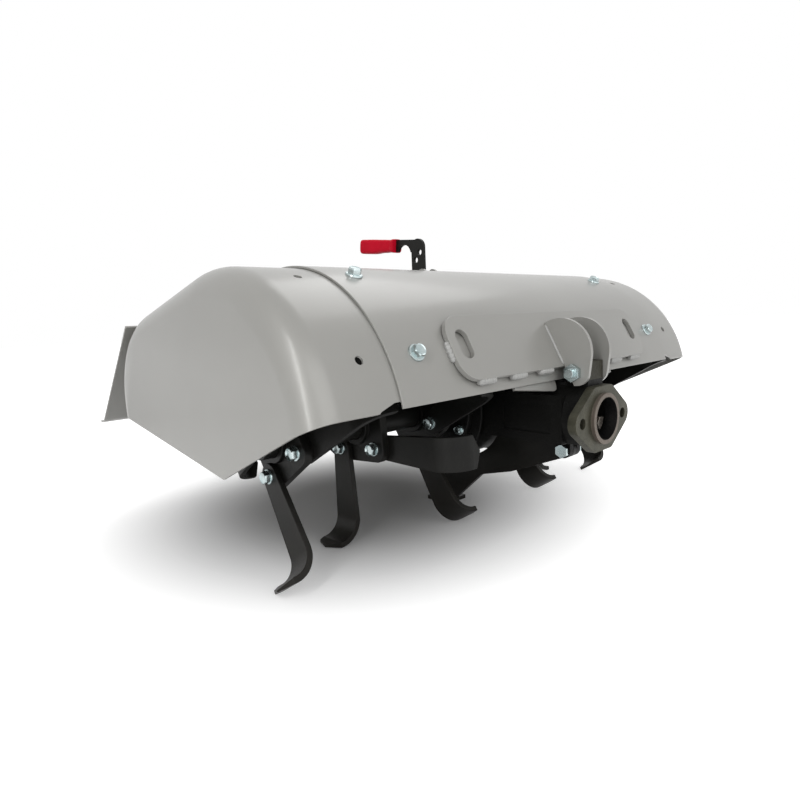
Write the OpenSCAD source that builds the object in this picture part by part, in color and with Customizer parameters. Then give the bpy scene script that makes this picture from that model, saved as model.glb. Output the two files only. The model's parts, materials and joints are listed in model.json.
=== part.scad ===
// Rotavator: a tined rotor under an adjustable hood, for a walk-behind tractor.
// Origin: centre of the coupling face, on the drive axis. -Y is the front, +Z is up.

/* [Coupling] */
// Distance between the two stud holes
stud_spacing = 98.8; // [90:0.2:110]
// Diameter of a stud hole
stud_hole_d = 13; // [9:0.5:15]
// Radius of the round lug about a stud hole
stud_lug_r = 16; // [14:0.5:20]
// Thickness of the coupling flange
flange_t = 11; // [9:1:20]
// Height of the coupling flange
flange_h = 80; // [70:1:90]
// Width of the flat top and bottom of the flange
flange_flat_w = 56; // [40:1:64]
// Outer diameter of the centring spigot
spigot_d = 63; // [58:0.5:70]
// How far the spigot stands out
spigot_len = 5; // [3:0.5:10]
// Bore of the spigot
bore_d = 52; // [46:0.5:54]
// Depth of the open bore behind the coupling face
bore_depth = 36; // [30:1:50]

/* [Gear case] */
// Distance from the coupling face back to the rotor axis
axis_back = 225; // [205:1:245]
// Outer radius of the gear case
case_r = 72; // [64:1:78]
// Width of the gear case
case_w = 100; // [90:1:110]
// Outer radius of the input housing
housing_r = 44; // [42:0.5:48]
// Flat underside of the input housing, below the drive axis
housing_flat = 30; // [28:0.5:34]
// Length of the web that carries the drive shaft
web_len = 24; // [16:1:30]
// Wall of the hollow input housing
housing_wall = 9; // [6:0.5:12]
// Radius of a side cover
cover_r = 60; // [50:1:70]
// Thickness of a side cover
cover_t = 8; // [5:0.5:12]
// Radius of the drive shaft
drive_r = 12.5; // [10:0.5:15]
// Outer radius of the drive jaws
jaw_r = 21; // [18:0.5:23]
// Length of the drive jaws
jaw_len = 12; // [8:1:16]

/* [Rotor] */
// Radius swept by the tine tips
tip_r = 160; // [150:1:168]
// Radius of the rotor shaft
shaft_r = 17.5; // [14:0.5:22]
// Side of a square tine flange
tine_flange_w = 92; // [84:1:100]
// Thickness of a tine flange
tine_flange_t = 10; // [8:0.5:12]
// Radius of the collar beside a tine flange
collar_r = 24; // [20:0.5:26]
// Length of a collar
collar_len = 22; // [16:1:26]
// Thickness of a tine
tine_t = 7; // [5:0.5:9]
// Width of a tine at its bolt
shank_w = 30; // [28:1:36]
// Width of a tine at its blade
blade_w = 40; // [36:1:48]
// Inner bend radius of a tine
bend_r = 25; // [18:1:28]
// Reach of a blade to the side of its flange
blade_reach = 50; // [46:0.5:51]
// Offset of a tine from the rotor axis
tine_offset = 28; // [24:0.5:32]
// Distance of the tine bolt along the tine
tine_bolt_u = 30; // [26:0.5:34]
// Angle cut off the trailing corner of a blade
blade_cut = 30; // [0:1:40]
// Tilt of the lowest tips from straight down
tip_tilt = 15; // [8:1:20]

/* [Hood] */
// Width of the middle hood
hood_w = 586; // [540:1:620]
// Overall width over the end hoods
total_w = 790; // [760:1:800]
// Inner edge of an end hood, from the middle
end_hood_x = 240; // [200:1:244]
// Outer radius of the hood over the rotor
hood_r = 185; // [182:1:200]
// Height of the hood centre over the rotor axis
hood_rise = 8.6; // [0:0.1:14]
// Sheet thickness of the hood
sheet = 2.5; // [2:0.1:3]
// Distance back to the rear curve's centre
rear_back = 165; // [150:1:180]
// Height of the rear curve's centre
rear_up = 25; // [15:1:35]
// Outer radius of the rear curve
rear_r = 124.5; // [115:0.5:135]
// Angle of the hood's front edge over the horizontal
front_edge_deg = 12.4; // [8:0.1:18]
// Angle on the rear curve where the middle hood ends
rear_edge_deg = 20; // [10:1:40]
// Radius of the pressed rim of an end hood
rim_r = 32; // [20:1:50]
// Lowest point of an end plate, forward of the hood centre
tip_fwd = 15; // [0:1:40]
// Lowest point of an end plate, below the hood centre
tip_drop = 34; // [20:1:50]
// Slope of the front lower edge of an end plate
front_slope_deg = 23.9; // [15:0.1:30]
// Slope of the rear lower edge of an end plate
rear_slope_deg = 8; // [4:0.1:14]
// Radius of the rear lower corner of an end plate
corner_r = 40; // [10:1:44]
// Height of an end hood's front edge over the hood centre
end_edge_up = 46; // [44:1:56]
// Length of the slot for the depth lever
slot_len = 68; // [64:1:80]
// Diameter of a spare hole in an end hood
spare_d = 9; // [6:0.5:11]

/* [Hitch] */
// Distance from a slot of the front plate to the plate's end
plate_end = 22; // [20:1:40]
// Height of the front plate
front_plate_h = 76; // [60:1:90]
// Thickness of the front plate
front_plate_t = 6; // [4:0.5:8]
// Angle of the front plate on the hood
front_plate_deg = 28; // [24:0.5:32]
// Distance between the slots of the front plate
slot_spacing = 376; // [340:1:390]
// Width of a slot in the front plate
plate_slot_w = 19; // [9:0.5:22]
// Length of a slot in the front plate
plate_slot_len = 34; // [26:1:44]
// Half the gap between the clevis ears
ear_x = 20; // [18:0.5:24]
// Thickness of a clevis ear
ear_t = 5; // [4:0.5:8]
// Radius of the clevis bolt
clevis_r = 6; // [5:0.5:8]
// Clevis bolt behind the coupling face
clevis_back = 26; // [22:0.5:30]
// Clevis bolt over the drive axis
clevis_up = 57; // [54:0.5:62]
// Width of a tab inside the hood's front edge
tab_w = 84; // [60:1:90]
// Height of a tab
tab_h = 52; // [44:1:56]
// Thickness of a tab
tab_t = 4; // [3:0.5:6]
// Angle of the tabs on the hood
tab_deg = 16.5; // [14:0.5:20]

/* [Depth skid] */
// Skid pivot behind the coupling face
pivot_back = 48; // [40:0.5:56]
// Skid pivot below the drive axis
pivot_drop = 45; // [44:0.5:50]
// Radius of the skid pivot bolt
pivot_r = 5; // [4.5:0.5:7]
// Radius of the eye about the pivot
eye_r = 10; // [9:0.5:12]
// Thickness of the skid plate
skid_t = 8; // [6:0.5:10]
// Thickness of the lever bar
lever_t = 5; // [4:0.5:8]
// Width of the sole
sole_w = 40; // [20:1:60]
// Length of the sole
sole_len = 50; // [40:1:60]
// Thickness of the sole
sole_t = 6; // [4:0.5:8]
// Width of the lever bar
bar_w = 26; // [18:0.5:28]
// Height of the lever's bend over the drive axis
lever_up = 252; // [240:1:270]
// Diameter of an index hole
index_d = 9; // [6:0.5:10]
// Length of the grip
grip_len = 84; // [80:1:110]
// Height of the grip
grip_h = 21; // [18:0.5:30]
// Thickness of the grip
grip_t = 20; // [16:0.5:26]
// Upward slope of the grip
grip_slope = 6.5; // [0:0.5:12]

/* [Flap] */
// Width of the flap
flap_w = 776; // [720:1:780]
// Length of the flap from its hinge
flap_len = 226; // [180:1:230]
// Radius of the flared lip along the flap's lower edge
lip_r = 18; // [10:1:25]
// Angle of the flared lip
lip_deg = 60; // [30:1:80]
// Angle of the hinge on the rear curve
hinge_deg = 56; // [52:0.5:60]
// Height of the hinge pin over the hood
hinge_off = 10; // [9:0.5:12]
// Slope of the closed flap
flap_slope = 45; // [42:0.5:46]
// Outer radius of a hinge knuckle
knuckle_r = 8; // [7:0.5:9]
// Radius of the hinge pin
pin_r = 4; // [3:0.5:5]
// Length of a hinge knuckle
knuckle_len = 40; // [30:1:50]

/* [Hidden] */
$fn = 72;
// Running clearance of a shaft or pin
fit = 0.3;
// Clearance of a moving piece
clear = 5.5;
// Excess of a cutting tool
cut = 1;

// Distance between the two hood curve centres, and the angle of the line between them
hood_span = norm([rear_back, rear_up]);
hood_dir = atan2(rear_up, rear_back);
// Angle of the straight top's normal, and its length
top_deg = 90 + hood_dir - asin((hood_r - rear_r) / hood_span);
top_len = sqrt(hood_span ^ 2 - (hood_r - rear_r) ^ 2);
// End hoods lie under the middle hood
end_r = hood_r - sheet - fit;
end_x = total_w / 2;
// Spare holes of an end hood: distance from its end, and angles up from the front
spare_in = 68.5;
spare_deg = [28.4, 66.8];
// Rear curve centre in the tilted frame of the straight top
rear_in_top = [hood_r - rear_r, -top_len];
// Lever slot along the straight top
slot_start = 20;
// Side clearance of the lever in its slot
slot_half = skid_t / 2 + clear;

// Corner circle of an end plate: on the rear lower edge and inside the rear curve
rear_dir = [cos(rear_slope_deg), sin(rear_slope_deg)];
rear_nrm = [-sin(rear_slope_deg), cos(rear_slope_deg)];
plate_tip = [-tip_fwd, -tip_drop];
rear_c = [rear_back, rear_up];
rear_height = (rear_c - plate_tip) * rear_nrm;
corner_side = sqrt((end_r - hood_r + rear_r - corner_r) ^ 2 - (corner_r - rear_height) ^ 2);
corner_c = rear_c + corner_side * rear_dir + (corner_r - rear_height) * rear_nrm;

// Tine geometry: u runs along the tine, v across it
blade_v = tine_offset + blade_w / 2;
tip_u = sqrt(tip_r ^ 2 - blade_v ^ 2);
bend_u = tip_u - tine_t - bend_r;
tip_deg = atan2(blade_v, tip_u);
// Floor under the lowest tips
floor_z = -tip_r * cos(tip_tilt);
// Side room of the outermost tines at an end plate
end_room = 77;
outer_x = end_x - end_room;
// Tine flanges: place along the shaft, angle of the lowest tip from the front, side of the lowest blade
flange_x = [-outer_x, -200, -100, 100, 200, outer_x];
flange_deg = [90 - tip_tilt, 90 + tip_tilt, 90 - tip_tilt, 90 - tip_tilt, 90 + tip_tilt, 90 - tip_tilt];
flange_side = [-1, -1, 1, 1, 1, -1];
shaft_half = outer_x + 27;
tines_per_flange = 4;
flange_corner_r = 14;

// Hinge axis of the flap
hinge_at = [axis_back + rear_back + (rear_r + hinge_off) * cos(hinge_deg),
            hood_rise + rear_up + (rear_r + hinge_off) * sin(hinge_deg)];
hinge_x = [-230, -70, 70, 230];
// Side gap between knuckles
knuckle_gap = 0.5;

// Height of the slots over the front plate's middle
slot_up = 4;
// Width of the front plate
front_plate_w = slot_spacing + 2 * plate_end;
// Clevis ear circles, in the hood's frame
ear_big_at = [-180, 73];
ear_big_r = 42;
ear_small_r = 16;
front_plate_in = hood_r + 0.2;
ear_face = front_plate_in + front_plate_t + 0.2;

// Skid plate outline stations
heel_back = axis_back + 10;
sole_end = heel_back + sole_len;
foot_back = heel_back + 100;
bar_low_back = foot_back - bar_w;
bar_top_back = 293;
bar_split_up = 30;
bar_straight_up = 110;
skid_top = -(housing_flat + clear + 0.5);
arm_h = 14;
tang_len = 70;
tang_h = 10;
flare_h = 19;
grip_back = bar_top_back + bar_w + 34;

// Colours
silver = [0.66, 0.66, 0.64];
black = [0.10, 0.10, 0.09];
steel = [0.16, 0.16, 0.14];
iron = [0.35, 0.32, 0.27];
zinc = [0.75, 0.79, 0.80];
red = [0.75, 0.08, 0.18];

// A side profile, rearward by up, from x0 to x1 across the machine
module across(x0, x1) {
    translate([x0, 0, 0]) rotate([90, 0, 90]) linear_extrude(x1 - x0) children();
}

// A round bar across the machine at a side-view point
module rod(x0, x1, r, at) {
    translate([x0, at[0], at[1]]) rotate([0, 90, 0]) cylinder(h = x1 - x0, r = r);
}

// A round bar along the drive axis
module drive_rod(y0, y1, r) {
    translate([0, y1, 0]) rotate([90, 0, 0]) cylinder(h = y1 - y0, r = r);
}

// The hood's frame: centre of the curve over the rotor
module at_hood() {
    translate([0, axis_back, hood_rise]) children();
}

// The tilted frame of the straight top: first axis out of the sheet, second forward, third across
module on_top() {
    at_hood() rotate([90, 0, 90]) rotate([0, 0, top_deg]) children();
}

// A flat piece on the front of the hood: third axis out of the sheet, second up along it
module on_front(deg) {
    at_hood() rotate([90 - deg, 0, 0]) children();
}

// A sheet swept along the hood's side profile from its section, radius by width.
// a_front and a_rear are the sweep over the front and rear curves.
module hood_sweep(a_front, a_rear, r) {
    rotate_extrude(angle = a_front) hood_section(r) children();
    rotate([90, 0, 0]) linear_extrude(top_len) hood_section(r) children();
    translate([rear_in_top[0], rear_in_top[1], 0]) rotate_extrude(angle = -a_rear)
        hood_section(r - rear_in_top[0]) children();
}

// Places a section drawn from the sheet's outer face
module hood_section(r) {
    translate([r, 0]) children();
}

module hood_main() {
    color(silver) difference() {
        on_top() hood_sweep(180 - front_edge_deg - top_deg, top_deg - rear_edge_deg, hood_r)
            translate([-sheet, -hood_w / 2]) square([sheet, hood_w]);
        on_top() translate([hood_r - 2 * sheet, -slot_start - slot_len, -slot_half])
            cube([4 * sheet, slot_len, 2 * slot_half]);
    }
}

// Section of an end hood from its outer radius: wall, pressed rim and end plate in to the centre
module end_section(r) {
    translate([r - sheet, end_hood_x]) square([sheet, end_x - rim_r - end_hood_x]);
    translate([r - rim_r, end_x - rim_r]) intersection() {
        difference() {
            circle(rim_r);
            circle(rim_r - sheet);
        }
        square(rim_r + cut);
    }
    translate([0, end_x - sheet]) square([r - rim_r, sheet]);
}

// Side view of what is cut off below an end plate
module below_end_plate() {
    far = 700;
    corner = corner_c + 2 * corner_r * [1.5, -1];
    union() {
        polygon([plate_tip, plate_tip + far * [-1, tan(front_slope_deg)], [-far, -far], [far, -far],
                 plate_tip + far * [1, tan(rear_slope_deg)]]);
        difference() {
            polygon([corner_c, corner_c - corner_r * rear_nrm, corner,
                     corner_c + 2 * corner_r * (corner_c - rear_c) / norm(corner_c - rear_c)]);
            translate(corner_c) circle(corner_r);
        }
    }
}

// Right-hand end hood
module end_hood() {
    rear_end_r = end_r - rear_in_top[0];
    reach = 300;
    // The front edge sweeps down to the end plate: distance from the end by share of the edge's height
    sweep = [[95, 1], [77, 0.87], [62, 0.59], [49, 0.15], [45, -0.15]];
    difference() {
        on_top() {
            rotate_extrude(angle = 180) end_section(end_r);
            rotate([90, 0, 0]) linear_extrude(top_len) end_section(end_r);
            translate([rear_in_top[0], rear_in_top[1], 0]) rotate_extrude(angle = -90)
                end_section(rear_end_r);
            translate([0, 0, end_x - sheet]) linear_extrude(sheet)
                polygon([[0, 0], [0, -top_len], rear_in_top, rear_in_top - [0, reach],
                         [-reach, -top_len - reach], [-reach, 0]]);
        }
        at_hood() across(end_hood_x - cut, end_x + cut) below_end_plate();
        at_hood() translate([0, -end_r / 2, 0]) rotate([90, 0, 0]) linear_extrude(end_r)
            polygon(concat([[end_hood_x - cut, -reach], [end_hood_x - cut, end_edge_up]],
                           [for (p = sweep) [end_x - p[0], p[1] * end_edge_up]],
                           [[end_x - sweep[4][0], -reach]]));
        for (deg = spare_deg) on_front(deg) translate([end_x - spare_in, 0, end_r - 2 * sheet])
            cylinder(h = 4 * sheet, d = spare_d, $fn = 24);
    }
}

module hood_end_left() {
    color(silver) mirror([1, 0, 0]) end_hood();
}

module hood_end_right() {
    color(silver) end_hood();
}

module front_plate() {
    r = 25;
    half = [front_plate_w / 2 - r, front_plate_h / 2 - r];
    color(silver) on_front(front_plate_deg) translate([0, 0, front_plate_in]) difference() {
        linear_extrude(front_plate_t) hull() for (x = [-1, 1], y = [-1, 1])
            translate([x * half[0], y * half[1]]) circle(r, $fn = 32);
        for (x = [-1, 1]) translate([x * slot_spacing / 2, slot_up, -cut]) {
            translate([-plate_slot_w / 2, -(plate_slot_len - plate_slot_w) / 2, 0])
                cube([plate_slot_w, plate_slot_len - plate_slot_w, front_plate_t + 2 * cut]);
            for (y = [-1, 1]) translate([0, y * (plate_slot_len - plate_slot_w) / 2, 0])
                cylinder(h = front_plate_t + 2 * cut, d = plate_slot_w);
        }
    }
}

// Clevis ear from x0, standing on the front plate
module clevis_ear(x0) {
    small_at = [clevis_back - axis_back - 4, clevis_up - hood_rise];
    color(silver) difference() {
        at_hood() across(x0, x0 + ear_t) hull() {
            translate(ear_big_at) circle(ear_big_r, $fn = 48);
            translate(small_at) circle(ear_small_r, $fn = 32);
        }
        on_front(front_plate_deg) translate([-2 * ear_x - ear_t, -hood_r, 0])
            cube([4 * ear_x + 2 * ear_t, 2 * hood_r, ear_face]);
        rod(x0 - cut, x0 + ear_t + cut, clevis_r + fit, [clevis_back, clevis_up]);
    }
}

module clevis_ear_left() {
    clevis_ear(-ear_x - ear_t);
}

module clevis_ear_right() {
    clevis_ear(ear_x);
}

// Tabs behind the hood's front edge, each deeper towards the middle
module hood_tabs() {
    half = tab_h / 2;
    out = sqrt((hood_r - sheet - fit) ^ 2 - half ^ 2);
    x0 = ear_x + 10;
    rise = 10;
    corner = 6;
    color(silver) for (side = [0, 1]) mirror([side, 0, 0])
        on_front(tab_deg) translate([x0, 0, out - tab_t]) linear_extrude(tab_t)
            polygon([[0, half], [0, corner - half], [corner / 4, corner / 4 - half], [corner, -half],
                     [tab_w, rise - half], [tab_w, half]]);
}

// A cross bolt with its head and nut
module cross_bolt(half, r, at) {
    head = 1.1 * r;
    rod(-half, half, r, at);
    for (x = [-half - head, half]) translate([x, at[0], at[1]]) rotate([0, 90, 0])
        cylinder(h = head, r = 1.85 * r, $fn = 6);
}

module clevis_bolt() {
    half = ear_x + ear_t + 0.2;
    thread_len = 2 * clevis_r;
    color(zinc) union() {
        cross_bolt(half, clevis_r, [clevis_back, clevis_up]);
        rod(-half - thread_len, -half, clevis_r - fit, [clevis_back, clevis_up]);
    }
}

module gear_case() {
    rim_w = 4;
    rim_h = 4;
    color(black) difference() {
        union() {
            rod(-case_w / 2, case_w / 2, case_r, [axis_back, 0]);
            for (x = [-case_w / 2, case_w / 2 - rim_w]) rod(x, x + rim_w, case_r + rim_h, [axis_back, 0]);
        }
        rod(-case_w, case_w, shaft_r + fit, [axis_back, 0]);
    }
}

// The input housing: round in front, flat-sided behind, with the clevis lug on top and the skid's lugs below
module input_housing() {
    lug_half = ear_x - 2;
    lug_r = 13;
    lug_chamfer = 7;
    side_from = flange_t + 20;
    panel = [36, 70, 1.5];
    panel_from = side_from + 16;
    skid_lug = [skid_t / 2 + 0.5, 8];
    web_back = bore_depth + web_len;
    cavity_r = housing_r - housing_wall - 4;
    color(black) difference() {
        union() {
            difference() {
                drive_rod(flange_t, axis_back - case_r / 2, housing_r);
                translate([-housing_r, flange_t - cut, -2 * housing_r])
                    cube([2 * housing_r, axis_back, 2 * housing_r - housing_flat]);
            }
            translate([-housing_r, side_from, -housing_flat])
                cube([2 * housing_r, axis_back - case_r / 2 - side_from, 2 * housing_flat]);
            across(-lug_half, lug_half) polygon([
                [flange_t, housing_wall], [flange_t, clevis_up + lug_r],
                [clevis_back + lug_r - lug_chamfer, clevis_up + lug_r],
                [clevis_back + lug_r, clevis_up], [clevis_back + lug_r, housing_wall]]);
            for (side = [0, 1]) mirror([side, 0, 0]) {
                rod(skid_lug[0], skid_lug[0] + skid_lug[1], eye_r, [pivot_back, -pivot_drop]);
                translate([skid_lug[0], pivot_back - eye_r, -pivot_drop])
                    cube([skid_lug[1], 2 * eye_r, pivot_drop - bore_d / 2 - 1]);
            }
        }
        rod(-case_w, case_w, case_r + fit, [axis_back, 0]);
        drive_rod(flange_t - cut, bore_depth, bore_d / 2);
        drive_rod(flange_t, web_back + cut, drive_r + fit);
        drive_rod(web_back, axis_back - case_r - housing_wall, min(cavity_r, housing_flat - 4));
        rod(-housing_r, housing_r, clevis_r + fit, [clevis_back, clevis_up]);
        rod(-housing_r, housing_r, pivot_r + fit, [pivot_back, -pivot_drop]);
        for (x = [-housing_r - cut, housing_r - panel[2]])
            translate([x, panel_from, -panel[0] / 2]) cube([panel[2] + cut, panel[1], panel[0]]);
    }
}

module coupling_flange() {
    r = 10;
    at = [flange_flat_w / 2 - r, flange_h / 2 - r];
    color(iron) difference() {
        union() {
            translate([0, flange_t, 0]) rotate([90, 0, 0]) linear_extrude(flange_t) hull() {
                for (x = [-1, 1]) {
                    translate([x * stud_spacing / 2, 0]) circle(stud_lug_r, $fn = 32);
                    for (z = [-1, 1]) translate([x * at[0], z * at[1]]) circle(r, $fn = 32);
                }
            }
            drive_rod(-spigot_len, flange_t / 2, spigot_d / 2);
        }
        drive_rod(-spigot_len - cut, flange_t + cut, bore_d / 2);
        for (x = [-1, 1]) translate([x * stud_spacing / 2, 0, 0])
            drive_rod(-cut, flange_t + cut, stud_hole_d / 2);
    }
}

// Side cover of the gear case, with a bearing boss
module side_cover() {
    boss_r = 34;
    boss_len = 8;
    color(black) difference() {
        union() {
            rod(case_w / 2, case_w / 2 + cover_t, cover_r, [axis_back, 0]);
            rod(case_w / 2, case_w / 2 + cover_t + boss_len, boss_r, [axis_back, 0]);
        }
        rod(0, case_w, shaft_r + fit, [axis_back, 0]);
    }
}

module side_cover_left() {
    mirror([1, 0, 0]) side_cover();
}

module side_cover_right() {
    side_cover();
}

// Stay between the gear case and the hood
module hood_stay() {
    half = 30;
    depth = 24;
    color(black) difference() {
        intersection() {
            translate([-half, axis_back - depth / 2, 0]) cube([2 * half, depth, hood_rise + hood_r]);
            at_hood() rod(-half - cut, half + cut, hood_r - sheet - fit, [0, 0]);
        }
        rod(-half - cut, half + cut, case_r + fit, [axis_back, 0]);
    }
}

// Cheeks beside the lever slot, each with a round lug at either end and a hole for the lock pin
module lever_guide() {
    cheek_t = 4;
    lug_r = 9;
    web_h = 10;
    pin_hole_r = index_d / 2;
    // Height of a lug's centre over the sheet by its place along the slot
    lugs = [[11, -slot_start], [27, -slot_start - slot_len + 1.5 * lug_r]];
    color(silver) for (z = [-slot_half - cheek_t, slot_half])
        on_top() translate([hood_r, 0, z]) linear_extrude(cheek_t) difference() {
            union() {
                translate([0, lugs[1][1]]) square([web_h, lugs[0][1] - lugs[1][1]]);
                for (lug = lugs) {
                    translate([0, lug[1] - lug_r]) square([lug[0], 2 * lug_r]);
                    translate(lug) circle(lug_r);
                }
            }
            for (lug = lugs) translate(lug) circle(pin_hole_r, $fn = 24);
        }
}

// Knuckles on the hood that carry the flap
module hood_hinge() {
    foot_w = 12;
    foot_top = pin_r + 1;
    color(silver) for (x = hinge_x) difference() {
        union() {
            rod(x - knuckle_len / 2, x + knuckle_len / 2, knuckle_r, hinge_at);
            translate([x - knuckle_len / 2, hinge_at[0], hinge_at[1]]) rotate([hinge_deg - 90, 0, 0])
                translate([0, -foot_w / 2, -hinge_off + fit])
                    cube([knuckle_len, foot_w, hinge_off - fit - foot_top]);
        }
        rod(x - knuckle_len, x + knuckle_len, pin_r + fit, hinge_at);
    }
}

module skid_pivot() {
    color(zinc) cross_bolt(skid_t / 2 + 0.5 + 8 + 0.2, pivot_r, [pivot_back, -pivot_drop]);
}

// Three-jaw drive coupler in the bore
module pto_coupler() {
    body_y = bore_depth - jaw_len - 2;
    color(steel) union() {
        drive_rod(body_y, bore_depth - fit, jaw_r);
        drive_rod(body_y, bore_depth + web_len - cut, drive_r);
        for (k = [0:2]) translate([0, body_y, 0]) rotate([90, 0, 0]) rotate([0, 0, 120 * k + 60])
            rotate_extrude(angle = 55) translate([drive_r - 3, -cut])
                square([jaw_r - drive_r + 2, jaw_len + cut]);
    }
}

module rotor_shaft() {
    color(steel) rod(-shaft_half, shaft_half, shaft_r, [axis_back, 0]);
}

// The rotor's frame turned so that the first axis points to the given angle from the front, downward
module on_rotor(deg) {
    translate([0, axis_back, 0]) rotate([90, 0, 90]) rotate([0, 0, 180 + deg]) children();
}

// Square flange with its collars
module tine_flange(n) {
    r = flange_corner_r;
    at = tine_flange_w / 2 - r;
    color(steel) on_rotor(flange_deg[n] - tip_deg + atan2(tine_offset, tine_bolt_u) + 45)
        translate([0, 0, flange_x[n]]) difference() {
            union() {
                translate([0, 0, -tine_flange_t / 2]) linear_extrude(tine_flange_t) hull()
                    for (x = [-at, at], y = [-at, at]) translate([x, y]) circle(r, $fn = 32);
                translate([0, 0, -collar_len / 2]) cylinder(h = collar_len, r = collar_r);
            }
            translate([0, 0, -collar_len]) cylinder(h = 2 * collar_len, r = shaft_r + 0.1);
        }
}

// One tine along its first axis: bolted shank, bend, and blade with a slanted end, to the third axis
module tine() {
    blade_from = tine_t + bend_r;
    reach = blade_reach - tine_flange_t / 2;
    taper = tan(blade_cut) * blade_w / 2;
    union() {
        translate([tine_bolt_u, tine_offset, 0]) cylinder(h = tine_t, r = shank_w / 2);
        linear_extrude(tine_t) polygon([[tine_bolt_u, tine_offset - shank_w / 2],
            [bend_u, tine_offset - blade_w / 2], [bend_u, tine_offset + blade_w / 2],
            [tine_bolt_u, tine_offset + shank_w / 2]]);
        translate([bend_u, tine_offset + blade_w / 2, blade_from]) rotate([90, 0, 0])
            rotate_extrude_quarter();
        translate([tip_u - tine_t, tine_offset, blade_from]) rotate([90, 0, 90]) linear_extrude(tine_t)
            polygon([[-blade_w / 2, 0], [blade_w / 2, 0], [blade_w / 2, reach - blade_from],
                     [0, reach - blade_from], [-blade_w / 2, reach - blade_from - taper]]);
    }
}

// Quarter ring of a tine's bend
module rotate_extrude_quarter() {
    rotate([0, 0, -90]) rotate_extrude(angle = 90) translate([bend_r, 0]) square([tine_t, blade_w]);
}

// Tines of one flange, alternately to either side
module tines(n) {
    color(steel) for (k = [0:tines_per_flange - 1]) {
        side = (k % 2 == 0) ? flange_side[n] : -flange_side[n];
        on_rotor(flange_deg[n] - tip_deg + 90 * k) translate([0, 0, flange_x[n]])
            mirror([0, 0, side > 0 ? 0 : 1]) translate([0, 0, tine_flange_t / 2]) tine();
    }
}

// The flap's frame: second axis down along the closed flap, third out of it
module on_flap() {
    translate([0, hinge_at[0], hinge_at[1]]) rotate([-flap_slope, 0, 0]) children();
}

module flap_sheet() {
    start = knuckle_r + clear;
    flat_len = flap_len - (lip_r + sheet) * sin(lip_deg);
    color(silver) union() {
        on_flap() {
            translate([-flap_w / 2, start, -sheet / 2]) cube([flap_w, flat_len - start, sheet]);
            translate([-flap_w / 2, flat_len, lip_r + sheet / 2]) rotate([90, 0, 90]) rotate([0, 0, -90])
                rotate_extrude(angle = lip_deg) translate([lip_r, 0]) square([sheet, flap_w]);
        }
        for (x = hinge_x, side = [-1, 1]) {
            x0 = x + side * (knuckle_len + knuckle_gap) - knuckle_len / 2;
            difference() {
                union() {
                    rod(x0, x0 + knuckle_len, knuckle_r, hinge_at);
                    on_flap() translate([x0, pin_r + cut, -sheet / 2 + cut / 4])
                        cube([knuckle_len, start - pin_r, sheet - cut / 2]);
                }
                rod(x0 - cut, x0 + knuckle_len + cut, pin_r + fit, hinge_at);
            }
        }
    }
}

module flap_pin() {
    half = max(hinge_x) + 1.5 * knuckle_len + 4;
    color(zinc) rod(-half, half, pin_r, hinge_at);
}

// Plate of the depth skid with its sole and the foot of the lever
module skid_plate() {
    color(black) difference() {
        union() {
            rod(-skid_t / 2, skid_t / 2, eye_r, [pivot_back, -pivot_drop]);
            across(-skid_t / 2, skid_t / 2) polygon([
                [pivot_back, -pivot_drop + eye_r], [axis_back - 62, skid_top], [bar_low_back - 10, skid_top],
                [bar_low_back, bar_split_up], [foot_back, bar_split_up], [foot_back, -50],
                [sole_end, floor_z + sole_t],
                [heel_back + sole_t, floor_z + sole_t], [axis_back - 36, -102], [axis_back - 89, -89],
                [pivot_back, -pivot_drop - eye_r]]);
            translate([-sole_w / 2, heel_back + sole_t, floor_z]) cube([sole_w, sole_len - sole_t, sole_t]);
        }
        rod(-skid_t, skid_t, case_r + clear, [axis_back, 0]);
        rod(-skid_t, skid_t, pivot_r + fit, [pivot_back, -pivot_drop]);
    }
}

// Lever bar from the skid plate up through the hood, with index holes and the arm for the grip
module lever_bar() {
    arm_z = lever_up - arm_h / 2;
    index_at = [[bar_top_back + 8.5, lever_up - 21], [bar_top_back + 17, lever_up - 32]];
    arm_len = grip_back - bar_top_back - bar_w;
    neck_r = 15;
    neck_h = 8;
    color(black) difference() {
        union() {
            across(-lever_t / 2, lever_t / 2) {
                polygon([[bar_low_back, bar_split_up], [foot_back, bar_split_up],
                         [bar_top_back + bar_w, bar_straight_up],
                         [bar_top_back + bar_w, lever_up - bar_w / 2], [bar_top_back, lever_up - bar_w / 2],
                         [bar_top_back, bar_straight_up]]);
                translate([bar_top_back + bar_w / 2, lever_up - bar_w / 2]) circle(bar_w / 2);
            }
            translate([0, bar_top_back + bar_w, arm_z]) rotate([grip_slope, 0, 0]) {
                across(-lever_t / 2, lever_t / 2) difference() {
                    translate([-bar_w / 2, arm_h / 2 - flare_h]) square([arm_len + bar_w / 2, flare_h]);
                    translate([arm_len / 2 - 2, arm_h / 2 - neck_h - neck_r]) circle(neck_r);
                }
                translate([-lever_t / 2, arm_len - cut, -tang_h / 2]) cube([lever_t, tang_len + cut, tang_h]);
            }
        }
        for (p = index_at) rod(-lever_t, lever_t, index_d / 2, p);
    }
}

// Grip over the lever's tang, a little deeper at its far end
module lever_grip() {
    r = 4;
    arm_z = lever_up - arm_h / 2;
    arm_len = grip_back - bar_top_back - bar_w;
    mid = (arm_h - flare_h) / 2;
    color(red) translate([0, bar_top_back + bar_w, arm_z]) rotate([grip_slope, 0, 0]) difference() {
        hull() for (x = [-1, 1], z = [-1, 1]) translate([x * (grip_t / 2 - r), 0, mid]) {
            translate([0, arm_len + fit + r, z * (flare_h / 2 - r)]) sphere(r, $fn = 16);
            translate([0, arm_len + grip_len - r, z * (grip_h / 2 - r)]) sphere(r, $fn = 16);
        }
        translate([-lever_t / 2 - fit / 2, arm_len, -tang_h / 2 - fit / 2])
            cube([lever_t + fit, tang_len + fit, tang_h + fit]);
    }
}

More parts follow.
